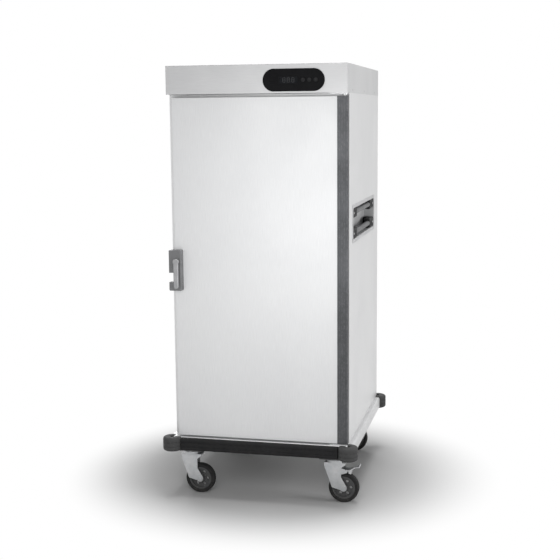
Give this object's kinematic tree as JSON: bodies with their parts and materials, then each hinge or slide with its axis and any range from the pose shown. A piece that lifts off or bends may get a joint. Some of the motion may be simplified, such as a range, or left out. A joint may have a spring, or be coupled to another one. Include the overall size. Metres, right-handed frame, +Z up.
{
  "type": "enclosed meal tray cart",
  "caption": "Tall insulated steel cabinet on swivel casters for warm trays, with a hinged front door, a control panel in its top cap, recessed side handles and a bumper rail.",
  "frame": {"origin": "on the floor under the middle of the bumper outline", "axes": "+Z up, -Y towards the person at the door, +X to that person's right"},
  "size_m": [0.816, 0.924, 1.765],
  "materials": {
    "chassis_paint": "satin powder coat",
    "sill_steel": "satin",
    "wrap_steel": "satin",
    "back_steel": "satin",
    "side_wool": "matte",
    "back_wool": "matte",
    "floor_roof_wool": "matte",
    "liner_steel": "satin",
    "frame_steel": "satin",
    "fascia_steel": "satin",
    "lid_steel": "satin",
    "deck_steel": "satin",
    "panel_black": "gloss",
    "display_glass": "gloss",
    "controller_case": "satin",
    "post_steel": "satin",
    "runner_steel": "satin",
    "duct_steel": "satin",
    "motor_paint": "satin",
    "heater_sheath": "heat tinted",
    "pan_steel": "satin",
    "hinge_steel": "satin",
    "keeper_steel": "satin",
    "bumper_vinyl": "matte",
    "side_rail_steel": "satin",
    "corner_rubber": "matte",
    "handle_pan_steel": "satin",
    "grip_steel": "satin",
    "socket_black": "satin",
    "inlet_black": "satin",
    "screw_zinc": "satin",
    "caster_zinc": "bright zinc",
    "door_steel": "satin",
    "edge_profile": "satin",
    "door_inner_steel": "satin",
    "door_wool": "matte",
    "gasket_rubber": "matte",
    "bush_bronze": "satin",
    "latch_casting": "satin",
    "lever_chrome": "satin",
    "impeller_alloy": "satin",
    "set_key": "satin",
    "up_key": "satin",
    "down_key": "satin",
    "rocker_black": "satin",
    "fork_zinc_fl": "bright zinc",
    "hub_grey_fl": "satin",
    "tyre_rubber_fl": "matte",
    "fork_zinc_fr": "bright zinc",
    "hub_grey_fr": "satin",
    "tyre_rubber_fr": "matte",
    "fork_zinc_rl": "bright zinc",
    "hub_grey_rl": "satin",
    "tyre_rubber_rl": "matte",
    "fork_zinc_rr": "bright zinc",
    "hub_grey_rr": "satin",
    "tyre_rubber_rr": "matte",
    "pedal_zinc_fr": "bright zinc",
    "pedal_zinc_rr": "bright zinc"
  },
  "bodies": {
    "cabinet": {"base_frame": "chassis_paint", "front_sill": "sill_steel", "outer_wrap": "wrap_steel", "back_panel": "back_steel", "side_insulation": "side_wool", "back_insulation": "back_wool", "floor_roof_insulation": "floor_roof_wool", "inner_liner": "liner_steel", "seal_frame": "frame_steel", "cap_fascia": "fascia_steel", "cap_lid": "lid_steel", "cap_deck": "deck_steel", "control_panel": "panel_black", "display_window": "display_glass", "controller_box": "controller_case", "rack_posts": "post_steel", "tray_runners": "runner_steel", "air_duct": "duct_steel", "fan_motor": "motor_paint", "heater_element": "heater_sheath", "water_pan": "pan_steel", "hinge_brackets": "hinge_steel", "latch_keeper": "keeper_steel", "bumper_rails": "bumper_vinyl", "side_rails": "side_rail_steel", "corner_bumpers": "corner_rubber", "handle_pans": "handle_pan_steel", "grip_bars": "grip_steel", "grip_sockets": "socket_black", "power_inlet": "inlet_black", "cabinet_screws": "screw_zinc", "caster_plates": "caster_zinc"},
    "door": {"door_shell": "door_steel", "door_profile": "edge_profile", "door_inner": "door_inner_steel", "door_insulation": "door_wool", "door_gasket": "gasket_rubber", "hinge_bushes": "bush_bronze", "latch_housing": "latch_casting"},
    "latch": {"latch_lever": "lever_chrome"},
    "fan": {"fan_impeller": "impeller_alloy"},
    "set_button": {"button_set": "set_key"},
    "up_button": {"button_up": "up_key"},
    "down_button": {"button_down": "down_key"},
    "power_switch": {"power_rocker": "rocker_black"},
    "swivel_fl": {"fork_fl": "fork_zinc_fl"},
    "roller_fl": {"wheel_fl": "hub_grey_fl", "tyre_fl": "tyre_rubber_fl"},
    "swivel_fr": {"fork_fr": "fork_zinc_fr"},
    "roller_fr": {"wheel_fr": "hub_grey_fr", "tyre_fr": "tyre_rubber_fr"},
    "swivel_rl": {"fork_rl": "fork_zinc_rl"},
    "roller_rl": {"wheel_rl": "hub_grey_rl", "tyre_rl": "tyre_rubber_rl"},
    "swivel_rr": {"fork_rr": "fork_zinc_rr"},
    "roller_rr": {"wheel_rr": "hub_grey_rr", "tyre_rr": "tyre_rubber_rr"},
    "brake_fr": {"pedal_fr": "pedal_zinc_fr"},
    "brake_rr": {"pedal_rr": "pedal_zinc_rr"}
  },
  "joints": [
    {"name": "door_hinge", "type": "hinge", "parent": "cabinet", "child": "door", "pos_m": [0.351, -0.4, 0.96], "axis": [0, 0, 1], "range_deg": [0, 180]},
    {"name": "latch_turn", "type": "hinge", "parent": "door", "child": "latch", "pos_m": [-0.326, -0.44, 0.99], "axis": [0, -1, 0], "range_deg": [0, 90]},
    {"name": "fan_spin", "type": "hinge", "parent": "cabinet", "child": "fan", "pos_m": [0, 0.311, 0.9465], "axis": [0, 1, 0], "continuous": true},
    {"name": "set_press", "type": "slide", "parent": "cabinet", "child": "set_button", "axis": [0, 1, 0], "range_m": [0, 0.0015], "stiffness_N_per_m": 300},
    {"name": "up_press", "type": "slide", "parent": "cabinet", "child": "up_button", "axis": [0, 1, 0], "range_m": [0, 0.0015], "stiffness_N_per_m": 300},
    {"name": "down_press", "type": "slide", "parent": "cabinet", "child": "down_button", "axis": [0, 1, 0], "range_m": [0, 0.0015], "stiffness_N_per_m": 300},
    {"name": "power_rock", "type": "hinge", "parent": "cabinet", "child": "power_switch", "pos_m": [0.068, -0.416, 1.703], "axis": [1, 0, 0], "range_deg": [0, 16]},
    {"name": "swivel_fl", "type": "hinge", "parent": "cabinet", "child": "swivel_fl", "pos_m": [-0.305, -0.35, 0.18], "axis": [0, 0, 1], "continuous": true},
    {"name": "roll_fl", "type": "hinge", "parent": "swivel_fl", "child": "roller_fl", "pos_m": [-0.27, -0.35, 0.0625], "axis": [0, 1, 0], "continuous": true},
    {"name": "swivel_fr", "type": "hinge", "parent": "cabinet", "child": "swivel_fr", "pos_m": [0.305, -0.35, 0.18], "axis": [0, 0, 1], "continuous": true},
    {"name": "roll_fr", "type": "hinge", "parent": "swivel_fr", "child": "roller_fr", "pos_m": [0.34, -0.35, 0.0625], "axis": [0, 1, 0], "continuous": true},
    {"name": "swivel_rl", "type": "hinge", "parent": "cabinet", "child": "swivel_rl", "pos_m": [-0.305, 0.35, 0.18], "axis": [0, 0, 1], "continuous": true},
    {"name": "roll_rl", "type": "hinge", "parent": "swivel_rl", "child": "roller_rl", "pos_m": [-0.34, 0.35, 0.0625], "axis": [0, 1, 0], "continuous": true},
    {"name": "swivel_rr", "type": "hinge", "parent": "cabinet", "child": "swivel_rr", "pos_m": [0.305, 0.35, 0.18], "axis": [0, 0, 1], "continuous": true},
    {"name": "roll_rr", "type": "hinge", "parent": "swivel_rr", "child": "roller_rr", "pos_m": [0.27, 0.35, 0.0625], "axis": [0, 1, 0], "continuous": true},
    {"name": "brake_fr", "type": "hinge", "parent": "swivel_fr", "child": "brake_fr", "pos_m": [0.35, -0.35, 0.1335], "axis": [0, 1, 0], "range_deg": [0, 12]},
    {"name": "brake_rr", "type": "hinge", "parent": "swivel_rr", "child": "brake_rr", "pos_m": [0.26, 0.35, 0.1335], "axis": [0, -1, 0], "range_deg": [0, 12]}
  ]
}
